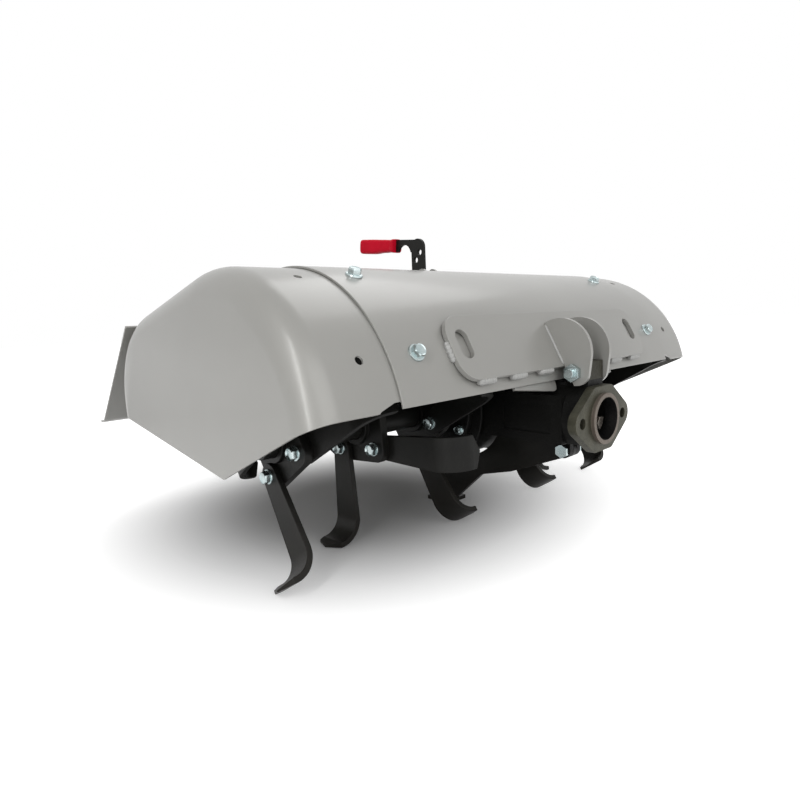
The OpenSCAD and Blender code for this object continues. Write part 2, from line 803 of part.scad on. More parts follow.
hood_main();
hood_end_left();
hood_end_right();
front_plate();
clevis_ear_left();
clevis_ear_right();
hood_tabs();
clevis_bolt();
gear_case();
input_housing();
coupling_flange();
side_cover_left();
side_cover_right();
hood_stay();
lever_guide();
hood_hinge();
skid_pivot();
pto_coupler();
rotor_shaft();
for (n = [0:5]) {
    tine_flange(n);
    tines(n);
}
flap_sheet();
flap_pin();
skid_plate();
lever_bar();
lever_grip();
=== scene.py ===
# %% [markdown]
# A rotavator is a tined rotor under a sheet steel hood, driven by a walk-behind tractor through a coupling.
# The solids come in as a fixed frame. This lesson gives them a finish and adds bolts, nuts and weld beads.
# Sizes are in metres, with -Y towards the tractor, X along the rotor and Z up.

# %% Load the frame
import json

import bmesh
import bpy
import numpy as np
from mathutils import Matrix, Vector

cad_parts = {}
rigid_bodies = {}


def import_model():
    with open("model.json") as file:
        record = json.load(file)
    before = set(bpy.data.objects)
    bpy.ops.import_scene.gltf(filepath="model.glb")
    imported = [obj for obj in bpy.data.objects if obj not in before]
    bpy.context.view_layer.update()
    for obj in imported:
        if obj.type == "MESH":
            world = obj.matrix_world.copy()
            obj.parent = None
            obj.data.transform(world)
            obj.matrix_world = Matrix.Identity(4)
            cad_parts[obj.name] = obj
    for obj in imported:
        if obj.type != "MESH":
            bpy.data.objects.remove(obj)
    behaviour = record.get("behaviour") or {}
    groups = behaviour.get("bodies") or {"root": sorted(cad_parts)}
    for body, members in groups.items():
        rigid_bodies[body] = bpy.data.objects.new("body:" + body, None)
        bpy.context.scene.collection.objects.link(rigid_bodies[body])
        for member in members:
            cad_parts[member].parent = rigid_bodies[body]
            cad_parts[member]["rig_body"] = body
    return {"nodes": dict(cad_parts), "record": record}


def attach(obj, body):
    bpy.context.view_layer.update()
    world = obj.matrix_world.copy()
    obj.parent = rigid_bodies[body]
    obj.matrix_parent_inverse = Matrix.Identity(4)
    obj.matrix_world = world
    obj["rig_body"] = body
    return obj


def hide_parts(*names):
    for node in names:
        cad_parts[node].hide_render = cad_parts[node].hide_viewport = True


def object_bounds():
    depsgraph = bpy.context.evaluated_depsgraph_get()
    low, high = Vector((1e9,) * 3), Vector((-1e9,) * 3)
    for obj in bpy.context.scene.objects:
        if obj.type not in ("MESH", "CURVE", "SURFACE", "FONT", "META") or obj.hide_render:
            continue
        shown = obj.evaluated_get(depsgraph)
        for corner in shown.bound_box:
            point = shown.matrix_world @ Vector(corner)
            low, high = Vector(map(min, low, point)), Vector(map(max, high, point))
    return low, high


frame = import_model()
cad_box = [list(map(float, corner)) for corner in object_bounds()]
floor_z = cad_box[0][2]
print("nodes", len(frame["nodes"]), "floor at", round(floor_z, 4))

# %% [markdown]
# The camera stands low, in front of the left end and close to it, so the near end hood looms over the rest.
# Its place and turn are set from a heading, a dip and a small roll, as a photographer would note them.
# A Track To constraint could aim it too, but would keep it level, and the photo is slightly rolled.

# %% Camera
CAMERA_AT = np.array([-0.6526, -0.33475, 0.13035])
HEADING, DIP, ROLL = np.radians([46.8676, 8.0157, -2.4506])
LENS, SENSOR = 25.86, 36.0
CLIP_FROM = 0.01


def camera_axes(heading, dip, roll):
    """Right, up and backward axes: a heading from +X towards +Y, a dip below the horizon, then a roll."""
    ahead = np.array([np.cos(heading) * np.cos(dip), np.sin(heading) * np.cos(dip), -np.sin(dip)])
    level = np.cross(ahead, [0, 0, 1])
    level /= np.linalg.norm(level)
    above = np.cross(level, ahead)
    right = np.cos(roll) * level + np.sin(roll) * above
    up = -np.sin(roll) * level + np.cos(roll) * above
    return right, up, -ahead


camera = bpy.data.objects.new("camera", bpy.data.cameras.new("camera"))
bpy.context.scene.collection.objects.link(camera)
pose = np.eye(4)
pose[:3, :3] = np.array(camera_axes(HEADING, DIP, ROLL)).T
pose[:3, 3] = CAMERA_AT
camera.matrix_world = Matrix(pose.tolist())
camera.data.lens = LENS
camera.data.sensor_width = SENSOR
camera.data.clip_start = CLIP_FROM
bpy.context.scene.camera = camera
print("camera at", CAMERA_AT)

# %% [markdown]
# The studio floor is a white sweep with a soft shadow. Its colour is a painted shadow, grey under the object,
# that eases to white farther off, and it glows with distance. Stronger lamps could whiten it as well, but
# would wash out the silver paint, so the light on the object stays plain and the floor's own glow does the
# rest.

# %% Floor
FLOOR_SIZE = 30.0
FLOOR_ROUGH, FLOOR_SHINE = 0.9, 0.1
# The grey is a painted shadow under the object, from which the floor's colour eases to white.
PAINTED_SHADOW_GREY, FLOOR_WHITE = 0.50, 0.92
GLOW_FAR = 0.75
SHADE_FROM, SHADE_TO = 0.10, 0.50
SHADOW_AT = (-0.112, 0.367, floor_z)


def link(tree, source, target):
    """Joins one node socket to another."""
    tree.links.new(source, target)


def seen_directly(tree):
    """1 where the camera, a mirror or glass looks at the surface, 0 where it only lights other things."""
    rays = tree.nodes.new("ShaderNodeLightPath")
    either = [tree.nodes.new("ShaderNodeMath") for _ in range(2)]
    for node in either:
        node.operation = "MAXIMUM"
    link(tree, rays.outputs["Is Camera Ray"], either[0].inputs[0])
    link(tree, rays.outputs["Is Glossy Ray"], either[0].inputs[1])
    link(tree, either[0].outputs[0], either[1].inputs[0])
    link(tree, rays.outputs["Is Transmission Ray"], either[1].inputs[1])
    return either[1].outputs[0]


def by_distance(tree, distance, near_value, far_value):
    """A value that eases from near_value to far_value between two distances, by a smooth step."""
    rise = tree.nodes.new("ShaderNodeMapRange")
    rise.interpolation_type = "SMOOTHSTEP"
    rise.inputs["From Min"].default_value = SHADE_FROM
    rise.inputs["From Max"].default_value = SHADE_TO
    rise.inputs["To Min"].default_value = near_value
    rise.inputs["To Max"].default_value = far_value
    link(tree, distance, rise.inputs["Value"])
    return rise.outputs["Result"]


def floor_material():
    """Floor that is grey under the object as a painted shadow, and whiter and more aglow to the camera with
    distance.
    """
    mat = bpy.data.materials.new("studio_floor")
    mat.use_nodes = True
    tree = mat.node_tree
    shader = tree.nodes["Principled BSDF"]
    shader.inputs["Roughness"].default_value = FLOOR_ROUGH
    shader.inputs["Specular IOR Level"].default_value = FLOOR_SHINE
    where = tree.nodes.new("ShaderNodeTexCoord")
    far = tree.nodes.new("ShaderNodeVectorMath")
    far.operation = "DISTANCE"
    far.inputs[1].default_value = SHADOW_AT
    link(tree, where.outputs["Object"], far.inputs[0])
    distance = far.outputs["Value"]
    # Painted shadow: the floor's colour is grey near the object and eases to white farther off.
    link(tree, by_distance(tree, distance, PAINTED_SHADOW_GREY, FLOOR_WHITE), shader.inputs["Base Color"])
    glow = tree.nodes.new("ShaderNodeMath")
    glow.operation = "MULTIPLY"
    link(tree, seen_directly(tree), glow.inputs[0])
    link(tree, by_distance(tree, distance, 0.0, GLOW_FAR), glow.inputs[1])
    shader.inputs["Emission Color"].default_value = (1, 1, 1, 1)
    link(tree, glow.outputs[0], shader.inputs["Emission Strength"])
    return mat


half = FLOOR_SIZE / 2
corners = [(-half, -half, floor_z), (half, -half, floor_z), (half, half, floor_z), (-half, half, floor_z)]
floor_mesh = bpy.data.meshes.new("floor")
floor_mesh.from_pydata(corners, [], [[0, 1, 2, 3]])
floor = bpy.data.objects.new("floor", floor_mesh)
floor.data.materials.append(floor_material())
bpy.context.scene.collection.objects.link(floor)
print("floor", FLOOR_SIZE, "wide, shadow at", SHADOW_AT)

# %% [markdown]
# Three soft boxes light the machine: a large key from the tractor's side, a small one over the far end, and
# a tall strip whose reflection draws the bright line on the rounded rim of the near end hood. The world is
# white where the camera, a mirror or glass looks at it, and dimmer as a light. A picture of a studio could
# light the scene too, but lamps can be placed one by one.

# %% World and lamps
WORLD_LIGHT, WORLD_SEEN = 0.5, 1.0

world = bpy.data.worlds.new("studio")
bpy.context.scene.world = world
world.use_nodes = True
sky = world.node_tree
background = sky.nodes["Background"]
background.inputs["Color"].default_value = (1, 1, 1, 1)
strength = sky.nodes.new("ShaderNodeMapRange")
strength.inputs["To Min"].default_value = WORLD_LIGHT
strength.inputs["To Max"].default_value = WORLD_SEEN
link(sky, seen_directly(sky), strength.inputs["Value"])
link(sky, strength.outputs["Result"], background.inputs["Strength"])
bpy.context.scene.view_settings.view_transform = "Standard"


def soft_lamp(name, at, aim, wide, tall, watts):
    """A soft box of a width and height at one point, facing another."""
    lamp = bpy.data.objects.new(name, bpy.data.lights.new(name, "AREA"))
    lamp.data.shape = "RECTANGLE"
    lamp.data.size = wide
    lamp.data.size_y = tall
    lamp.data.energy = watts
    away = np.array(at, float) - np.array(aim, float)
    away /= np.linalg.norm(away)
    side = np.cross([0, 0, 1], away)
    side /= np.linalg.norm(side)
    turn = np.eye(4)
    turn[:3] = np.stack([side, np.cross(away, side), away, at], -1)
    lamp.matrix_world = Matrix(turn.tolist())
    bpy.context.scene.collection.objects.link(lamp)


soft_lamp("key", at=(-0.4, -2.1, 1.1), aim=(0, 0.2, 0), wide=2.4, tall=2.4, watts=22)
soft_lamp("top", at=(0.9, 0.7, 1.7), aim=(0, 0.2, 0), wide=1.2, tall=1.2, watts=7.5)
soft_lamp("strip", at=(-1.40, -0.32, 0.62), aim=(-0.36, 0.06, 0.1), wide=0.17, tall=1.4, watts=7.5)

# %% [markdown]
# Two effects turn up in several finishes, so each is a node group: a fine mottle, as sprayed paint and cast
# iron both have, and dust that settles low on the object. The nodes could be copied into every material, but
# a group keeps one definition, and each material places it with its own values.

# %% Shared effects
MOTTLE_DETAIL = {"Broad": 4.0, "Fine": 2.0}
DUST_SCALE, DUST_DETAIL = 40.0, 6.0
FLOAT = "NodeSocketFloat"


def new_group(name, inputs, outputs):
    """A shader node group of float sockets, with its input and output nodes."""
    group = bpy.data.node_groups.new(name, "ShaderNodeTree")
    for label, value in inputs.items():
        socket = group.interface.new_socket(label, in_out="INPUT", socket_type=FLOAT)
        socket.default_value = value
    for label in outputs:
        group.interface.new_socket(label, in_out="OUTPUT", socket_type=FLOAT)
    return group, group.nodes.new("NodeGroupInput"), group.nodes.new("NodeGroupOutput")


def mottle_group():
    """Noise at two scales: a broad drift of tone, and fine grains for bump and gloss."""
    group, given, out = new_group("mottle", {"Broad Scale": 9.0, "Fine Scale": 900.0}, ["Broad", "Fine"])
    where = group.nodes.new("ShaderNodeTexCoord")
    for label, detail in MOTTLE_DETAIL.items():
        noise = group.nodes.new("ShaderNodeTexNoise")
        noise.inputs["Detail"].default_value = detail
        link(group, where.outputs["Object"], noise.inputs["Vector"])
        link(group, given.outputs[label + " Scale"], noise.inputs["Scale"])
        link(group, noise.outputs["Fac"], out.inputs[label])
    return group


def dust_group():
    """Dust mask: strongest at Low, gone at High, broken up by noise."""
    group, given, out = new_group("settled_dust", {"Low": -0.15, "High": 0.0, "Amount": 0.3}, ["Mask"])
    where = group.nodes.new("ShaderNodeTexCoord")
    split = group.nodes.new("ShaderNodeSeparateXYZ")
    ramp = group.nodes.new("ShaderNodeMapRange")
    ramp.inputs["To Min"].default_value = 1.0
    ramp.inputs["To Max"].default_value = 0.0
    noise = group.nodes.new("ShaderNodeTexNoise")
    noise.inputs["Scale"].default_value = DUST_SCALE
    noise.inputs["Detail"].default_value = DUST_DETAIL
    times = [group.nodes.new("ShaderNodeMath") for _ in range(2)]
    for node in times:
        node.operation = "MULTIPLY"
    link(group, where.outputs["Object"], split.inputs[0])
    link(group, where.outputs["Object"], noise.inputs["Vector"])
    link(group, split.outputs["Z"], ramp.inputs["Value"])
    link(group, given.outputs["Low"], ramp.inputs["From Min"])
    link(group, given.outputs["High"], ramp.inputs["From Max"])
    link(group, ramp.outputs["Result"], times[0].inputs[0])
    link(group, noise.outputs["Fac"], times[0].inputs[1])
    link(group, times[0].outputs[0], times[1].inputs[0])
    link(group, given.outputs["Amount"], times[1].inputs[1])
    link(group, times[1].outputs[0], out.inputs["Mask"])
    return group


MOTTLE, DUST = mottle_group(), dust_group()
print("groups", MOTTLE.name, DUST.name)

# %% [markdown]
# Some castings change tone at a line: the coupling's bore is painted and the spigot around it is machined
# bright, and the housing's lug stays in primer. Each area could be a material of its own on chosen faces.
# A mask from a distance or a height needs no face to be chosen, and holds when the mesh is cut another way.

# %% Masks and mixes
NOISE_LOW, NOISE_HIGH = 0.3, 0.7


def mix_colour(tree, factor, first, second):
    """A colour mix of two sockets or plain colours."""
    mix = tree.nodes.new("ShaderNodeMix")
    mix.data_type = "RGBA"
    link(tree, factor, mix.inputs["Factor"])
    for socket, value in ((mix.inputs["A"], first), (mix.inputs["B"], second)):
        if isinstance(value, tuple):
            socket.default_value = value
        else:
            link(tree, value, socket)
    return mix.outputs["Result"]


def ranged(tree, noise, low, high):
    """Noise, most of which lies between NOISE_LOW and NOISE_HIGH, spread over low to high."""
    node = tree.nodes.new("ShaderNodeMapRange")
    node.inputs["From Min"].default_value = NOISE_LOW
    node.inputs["From Max"].default_value = NOISE_HIGH
    node.inputs["To Min"].default_value = low
    node.inputs["To Max"].default_value = high
    link(tree, noise, node.inputs["Value"])
    return node.outputs["Result"]


def ring_mask(tree, middle, half_width):
    """A mask of the points whose distance from the drive axis is within half_width of middle."""
    where = tree.nodes.new("ShaderNodeTexCoord")
    flat = tree.nodes.new("ShaderNodeVectorMath")
    flat.operation = "MULTIPLY"
    flat.inputs[1].default_value = (1, 0, 1)
    reach = tree.nodes.new("ShaderNodeVectorMath")
    reach.operation = "LENGTH"
    near = tree.nodes.new("ShaderNodeMath")
    near.operation = "COMPARE"
    near.inputs[1].default_value = middle
    near.inputs[2].default_value = half_width
    link(tree, where.outputs["Object"], flat.inputs[0])
    link(tree, flat.outputs["Vector"], reach.inputs[0])
    link(tree, reach.outputs["Value"], near.inputs[0])
    return near.outputs[0]


def height_mask(tree, height):
    """A mask of the points above a height."""
    where = tree.nodes.new("ShaderNodeTexCoord")
    split = tree.nodes.new("ShaderNodeSeparateXYZ")
    above = tree.nodes.new("ShaderNodeMath")
    above.operation = "GREATER_THAN"
    above.inputs[1].default_value = height
    link(tree, where.outputs["Object"], split.inputs[0])
    link(tree, split.outputs["Z"], above.inputs[0])
    return above.outputs[0]


# Each patch has a mask, the mask's values and a colour: the painted bore, then the machined spigot around it
IRON_PATCHES = ((ring_mask, (0.0256, 0.0006), (0.006, 0.006, 0.006)),
                (ring_mask, (0.0289, 0.0026), (0.13, 0.107, 0.088)))
# The housing's lug stands above its barrel and is left in thin olive primer
LUG_PATCHES = ((height_mask, (0.0475,), (0.040, 0.038, 0.029)),)
print("patches", len(IRON_PATCHES) + len(LUG_PATCHES))

# %% [markdown]
# The finishes differ in tone, gloss and grain: smooth silver paint on the hood, thick black on castings,
# thinner black on the tines, bare brown-grey iron at the coupling, zinc on bolts, red plastic on the grip.
# Painted images would need every piece unwrapped. Noise on Object coordinates needs no unwrapping and keeps
# its true scale on every piece, so it is used here.

# %% Finishes
DUST_TONE = (0.16, 0.13, 0.10, 1)
DUST_TOP = 0.14
BUMP_STRENGTH, COAT_ROUGH = 0.6, 0.2


def finish(name, dark, pale, gloss, grain, bump, metal=0.0, coat=0.0, shine=0.5, dust=None, patches=()):
    """A procedural finish: tone drifts from dark to pale, roughness over the gloss pair, with a fine bump."""
    mat = bpy.data.materials.new(name)
    mat.use_nodes = True
    tree = mat.node_tree
    shader = tree.nodes["Principled BSDF"]
    spots = tree.nodes.new("ShaderNodeGroup")
    spots.node_tree = MOTTLE
    spots.inputs["Broad Scale"].default_value = grain[0]
    spots.inputs["Fine Scale"].default_value = grain[1]
    spread = ranged(tree, spots.outputs["Broad"], 0.0, 1.0)
    tone = mix_colour(tree, spread, (*dark, 1), (*pale, 1))
    if dust:
        film = tree.nodes.new("ShaderNodeGroup")
        film.node_tree = DUST
        for label, value in zip(("Low", "High", "Amount"), dust):
            film.inputs[label].default_value = value
        tone = mix_colour(tree, film.outputs["Mask"], tone, DUST_TONE)
    for mask, values, colour in patches:
        tone = mix_colour(tree, mask(tree, *values), tone, (*colour, 1))
    link(tree, tone, shader.inputs["Base Color"])
    link(tree, ranged(tree, spots.outputs["Fine"], *gloss), shader.inputs["Roughness"])
    relief = tree.nodes.new("ShaderNodeBump")
    relief.inputs["Distance"].default_value = bump
    relief.inputs["Strength"].default_value = BUMP_STRENGTH
    link(tree, spots.outputs["Fine"], relief.inputs["Height"])
    link(tree, relief.outputs["Normal"], shader.inputs["Normal"])
    shader.inputs["Metallic"].default_value = metal
    shader.inputs["Specular IOR Level"].default_value = shine
    shader.inputs["Coat Weight"].default_value = coat
    shader.inputs["Coat Roughness"].default_value = COAT_ROUGH
    return mat


LOOKS = {
    "silver_paint": dict(dark=(0.272, 0.268, 0.252), pale=(0.298, 0.294, 0.277), gloss=(0.34, 0.42),
                         grain=(5.0, 2200.0), bump=0.00004, metal=0.12, coat=0.45, shine=0.35),
    "black_casting": dict(dark=(0.004, 0.004, 0.0038), pale=(0.009, 0.009, 0.0085), gloss=(0.38, 0.55),
                          grain=(14.0, 420.0), bump=0.0006, coat=0.05, shine=0.12),
    "neck_casting": dict(dark=(0.003, 0.003, 0.0027), pale=(0.007, 0.007, 0.0063), gloss=(0.38, 0.55),
                         grain=(14.0, 420.0), bump=0.0006, coat=0.03, shine=0.08, patches=LUG_PATCHES),
    "black_steel": dict(dark=(0.005, 0.005, 0.0045), pale=(0.011, 0.011, 0.0096), gloss=(0.36, 0.5),
                        grain=(22.0, 800.0), bump=0.00025, coat=0.02, shine=0.15,
                        dust=(floor_z, floor_z + DUST_TOP, 0.08)),
    "bare_iron": dict(dark=(0.034, 0.033, 0.021), pale=(0.065, 0.062, 0.043), gloss=(0.42, 0.6),
                      grain=(60.0, 500.0), bump=0.0005, metal=0.55, patches=IRON_PATCHES),
    "zinc": dict(dark=(0.40, 0.48, 0.49), pale=(0.50, 0.56, 0.56), gloss=(0.20, 0.27),
                 grain=(90.0, 1500.0), bump=0.00002, metal=0.95),
    "red_grip": dict(dark=(0.56, 0.002, 0.018), pale=(0.66, 0.004, 0.026), gloss=(0.5, 0.6),
                     grain=(30.0, 1200.0), bump=0.0001, shine=0.1),
    "jaw_steel": dict(dark=(0.16, 0.14, 0.12), pale=(0.32, 0.29, 0.26), gloss=(0.25, 0.4),
                      grain=(80.0, 900.0), bump=0.0002, metal=0.8),
    "weld": dict(dark=(0.30, 0.30, 0.29), pale=(0.36, 0.36, 0.35), gloss=(0.34, 0.46),
                 grain=(60.0, 900.0), bump=0.0002, metal=0.15, coat=0.1),
}
FINISH = {name: finish(name, **values) for name, values in LOOKS.items()}
print("finishes", sorted(FINISH))

# %% [markdown]
# A tine is a flat bar, bolted at one end and bent near the other. The smith draws its tip out thin, so that
# it enters the soil. The solid's tip is blunt, so the corners of the copy's tip are moved: the inner ones
# towards the outer face, in proportion to their distance along the blade, and the leading one back. A boolean
# cut could do it too, but moved corners keep the mesh clean.

# %% Layout of the rotor and tips of the tines
AXIS_Y = 0.225
FLANGE_X = np.array([-0.318, -0.200, -0.100, 0.100, 0.200, 0.318])
FLANGE_DEG = np.array([75.0, 105.0, 75.0, 75.0, 105.0, 75.0])
FLANGE_SIDE = np.array([-1, -1, 1, 1, 1, -1])
FLANGE_T, TINE_T = 0.010, 0.007
TINES_EACH = 4
BOLT_UV = np.array([0.030, 0.028])
TIP_R, BLADE_V = 0.160, 0.048
TIP_U = np.sqrt(TIP_R**2 - BLADE_V**2)
TIP_DEG = np.degrees(np.arctan2(BLADE_V, TIP_U))
BLADE_FROM, BLADE_END, BLADE_W = 0.032, 0.045, 0.040
TIP_T, POINT = 0.002, 0.007
MARGIN = 0.0005


def tine_turns(flange, step):
    """Side and turn of a flange's tines: even steps round the flange, alternately to either side."""
    side = FLANGE_SIDE[flange] * np.where(step % 2 == 0, 1, -1)
    return side, np.radians(180 + FLANGE_DEG[flange] - TIP_DEG + 360 / TINES_EACH * step)


def draw_out_tips(mesh, flange):
    """Thins each blade evenly from its bend to TIP_T at its end, and sets its leading corner back by POINT.

    A tine's own axes are u out from the shaft, v across the bar and w along the shaft from the flange's face.
    """
    points = np.empty(3 * len(mesh.vertices))
    mesh.vertices.foreach_get("co", points)
    x, y, z = points.reshape(-1, 3).T.copy()
    for side, turn in zip(*tine_turns(flange, np.arange(TINES_EACH))):
        c, s = np.cos(turn), np.sin(turn)
        u = (y - AXIS_Y) * c + z * s
        v = z * c - (y - AXIS_Y) * s
        w = side * (x - FLANGE_X[flange]) - FLANGE_T / 2
        on_blade = (w > BLADE_FROM + MARGIN) & (np.abs(v - BOLT_UV[1]) < BLADE_W)
        tip = on_blade & (u > TIP_U - 2 * TINE_T)
        w = np.where(tip & (v > BLADE_V - 2 * MARGIN), w - POINT, w)
        thinner = (TINE_T - TIP_T) * (w - BLADE_FROM) / (BLADE_END - BLADE_FROM)
        u = np.where(tip & (u < TIP_U - TINE_T / 2), u + thinner, u)
        x = np.where(tip, FLANGE_X[flange] + side * (w + FLANGE_T / 2), x)
        y = np.where(tip, AXIS_Y + u * c - v * s, y)
        z = np.where(tip, u * s + v * c, z)
    mesh.vertices.foreach_set("co", np.stack([x, y, z], -1).ravel())


print("flanges", len(FLANGE_X), "tip angle", round(TIP_DEG, 2))

# %% [markdown]
# A solid from the drawing comes in as loose triangles. A copy is merged, its flat faces are joined, its sharp
# edges get a hairline round as paint and tumbling leave them, and it then stands for the solid. The rounds
# could be drawn in the solid, at the cost of many faces. A Bevel modifier adds them only at sharp edges.

# %% Smooth copies of the solids
FLAT_ANGLE = np.radians(0.05)
SHARP_ANGLE = np.radians(28)
MERGE = 1e-6
ROUND = {"silver_paint": 0.0006, "black_casting": 0.0012, "black_steel": 0.0008, "bare_iron": 0.0012,
         "zinc": 0.0005}
OWN_LOOK = {"pto_coupler": "jaw_steel", "input_housing": "neck_casting"}
SHAPED_LATER = "lever_grip"


def merged_shape(mesh, distance):
    """A mesh as an editable shape, in which points within a distance of each other are one."""
    shape = bmesh.new()
    shape.from_mesh(mesh)
    bmesh.ops.remove_doubles(shape, verts=shape.verts, dist=distance)
    return shape


def dress(mesh, look):
    """Gives a mesh a finish, with smooth faces between its sharp edges."""
    mesh.materials.clear()
    mesh.materials.append(FINISH[look])
    mesh.polygons.foreach_set("use_smooth", np.ones(len(mesh.polygons), bool))
    mesh.set_sharp_from_angle(angle=SHARP_ANGLE)


def smooth_copy(node, slot, look):
    """A merged copy of a solid with rounded edges and a finish, in its place and on its body."""
    source = frame["nodes"][node]
    mesh = source.data.copy()
    shape = merged_shape(mesh, MERGE)
    bmesh.ops.dissolve_limit(shape, angle_limit=FLAT_ANGLE, verts=shape.verts, edges=shape.edges)
    shape.to_mesh(mesh)
    shape.free()
    if node.startswith("tines_"):
        draw_out_tips(mesh, int(node[-1]) - 1)
    dress(mesh, look)
    piece = bpy.data.objects.new(node + "_skin", mesh)
    bpy.context.scene.collection.objects.link(piece)
    edge = piece.modifiers.new("edge", "BEVEL")
    edge.width = ROUND[slot]
    edge.segments = 2
    edge.limit_method = "ANGLE"
    edge.angle_limit = SHARP_ANGLE
    edge.harden_normals = True
    edge.use_clamp_overlap = True
    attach(piece, source["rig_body"])
    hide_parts(node)


slot_of = {row["node"]: row["material_slot"] for row in frame["record"]["subparts"]}
skinned = [node for node in slot_of if node != SHAPED_LATER]
for node in skinned:
    smooth_copy(node, slot_of[node], OWN_LOOK.get(node, slot_of[node]))
print("skins", len(skinned))

# %% [markdown]
# Small hardware is one surface each: a grid over the turn and the profile. A flange bolt's head is a washer
# face, a hexagon and a chamfer. The hexagon's radius is the flat's distance over the cosine of the angle
# from the middle of that flat, capped by the chamfer's circle. Joined cylinders and prisms could make it too,
# but one surface has no hidden faces and takes the bevels of a real forged head.

# %% Head of a bolt
TURNS = 48
CHAMFER = 0.10
CHAMFER_FROM, CHAMFER_MID = 2.2, 1.6
WASHER_EDGE, HEX_FROM = 0.96, 1.15
CROWN_OUT, CROWN_IN = 0.485, 0.40


def grid_quads(rows, columns):
    """Faces of a rows by columns grid whose columns close into a ring."""
    row, column = np.meshgrid(np.arange(rows - 1), np.arange(columns), indexing="ij")
    right = (column + 1) % columns
    below, above = row * columns, (row + 1) * columns
    return np.stack([below + column, below + right, above + right, above + column], -1).reshape(-1, 4)


def hex_head(flats, height, flange_r, flange_h, recess):
    """Head points by station and turn: washer face, hexagon with a chamfer, and a crown that closes it."""
    turn = np.arange(TURNS) * 2 * np.pi / TURNS
    hexagon = flats / 2 / np.cos((turn + np.pi / 6) % (np.pi / 3) - np.pi / 6)
    corner = flats / 2 / np.cos(np.pi / 6)
    chamfer = CHAMFER * height
    washer = [0, flange_r, flange_r, WASHER_EDGE * flange_r]
    cap = np.array([*washer, corner, corner, corner, flats * CROWN_OUT, flats * CROWN_IN, 0])
    washer_up = [0, 0, 0.5 * flange_h, flange_h]
    hex_up = [HEX_FROM * flange_h, height - CHAMFER_FROM * chamfer, height - CHAMFER_MID * chamfer, height]
    up = np.array([*washer_up, *hex_up, height - recess, height - recess])
    is_hex = np.array([0, 0, 0, 0, 1, 1, 1, 1, 0, 0], bool)
    radius = np.where(is_hex[:, None], np.minimum(hexagon[None], cap[:, None]), cap[:, None])
    return np.stack([radius * np.cos(turn), radius * np.sin(turn), np.repeat(up[:, None], TURNS, 1)], -1)


HOOD_BOLT = hex_head(flats=0.013, height=0.0085, flange_r=0.0095, flange_h=0.0022, recess=0.0006)
TINE_BOLT = hex_head(flats=0.0135, height=0.0085, flange_r=0.0088, flange_h=0.0018, recess=0.0005)
TINE_NUT = hex_head(flats=0.0135, height=0.009, flange_r=0.0088, flange_h=0.0018, recess=0.002)
COVER_BOLT = hex_head(flats=0.010, height=0.007, flange_r=0.0075, flange_h=0.0016, recess=0.0004)
print("points of a head", HOOD_BOLT.shape[:2])

# %% [markdown]
# Bolts hold the end hoods, the tines and the gear case's side covers. Their places come from the hood's curve
# and the rotor's layout, and each kind is one mesh that repeats the head. Linked duplicates or geometry nodes
# could repeat it too, but an array of places and normals does it in a few lines and leaves one plain mesh.

# %% Bolts and nuts
POLE = 3e-5
SPIN_STEP = 0.7
NEAR_X = 0.9
HOOD_CENTRE, HOOD_R = np.array([0.0, AXIS_Y, 0.0086]), 0.185
HOOD_BOLT_X, HOOD_BOLT_DEG = (-0.2566, 0.2566), (28.5, 66.6)
COVER_X, COVER_BOLT_R, COVER_BOLTS = 0.058, 0.050, 6


def basis(normal, spin):
    """Three axes with the third along each normal, turned by spin about it."""
    normal = normal / np.linalg.norm(normal, axis=-1, keepdims=True)
    helper = np.where(np.abs(normal[:, :1]) > NEAR_X, [[0.0, 0.0, 1.0]], [[1.0, 0.0, 0.0]])
    first = np.cross(helper, normal)
    first /= np.linalg.norm(first, axis=-1, keepdims=True)
    second = np.cross(normal, first)
    c, s = np.cos(spin)[:, None], np.sin(spin)[:, None]
    return np.stack([c * first + s * second, -s * first + c * second, normal], 1)


def add_piece(name, points, quads, body, look):
    """A mesh object from points and quads, its poles closed, riding on a body."""
    mesh = bpy.data.meshes.new(name)
    mesh.from_pydata(points.reshape(-1, 3).tolist(), [], quads.tolist())
    shape = merged_shape(mesh, POLE)
    shape.to_mesh(mesh)
    shape.free()
    dress(mesh, look)
    piece = bpy.data.objects.new(name, mesh)
    bpy.context.scene.collection.objects.link(piece)
    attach(piece, body)
    return piece


def repeated_quads(rows, columns, count):
    """Faces of as many grids as count, one after the other."""
    first = np.arange(count)[:, None, None] * rows * columns
    return (grid_quads(rows, columns)[None] + first).reshape(-1, 4)


def scatter(name, form, places, normals, body):
    """One zinc mesh that repeats a form at each place, its third axis along the normal there."""
    places, normals = np.asarray(places, float), np.asarray(normals, float)
    axes = basis(normals, np.arange(len(places)) * SPIN_STEP)
    points = np.einsum("rck,nkj->nrcj", form, axes) + places[:, None, None, :]
    add_piece(name, points, repeated_quads(*form.shape[:2], len(places)), body, "zinc")


def on_hood(x, degrees):
    """Place and outward normal on the curve over the rotor, at an angle up from the front."""
    angle = np.radians(degrees)
    normal = np.array([0.0, -np.cos(angle), np.sin(angle)])
    return HOOD_CENTRE + [x, 0, 0] + HOOD_R * normal, normal


hood_bolts = [on_hood(x, degrees) for x in HOOD_BOLT_X for degrees in HOOD_BOLT_DEG]
scatter("hood_bolts", HOOD_BOLT, *zip(*hood_bolts), "frame")

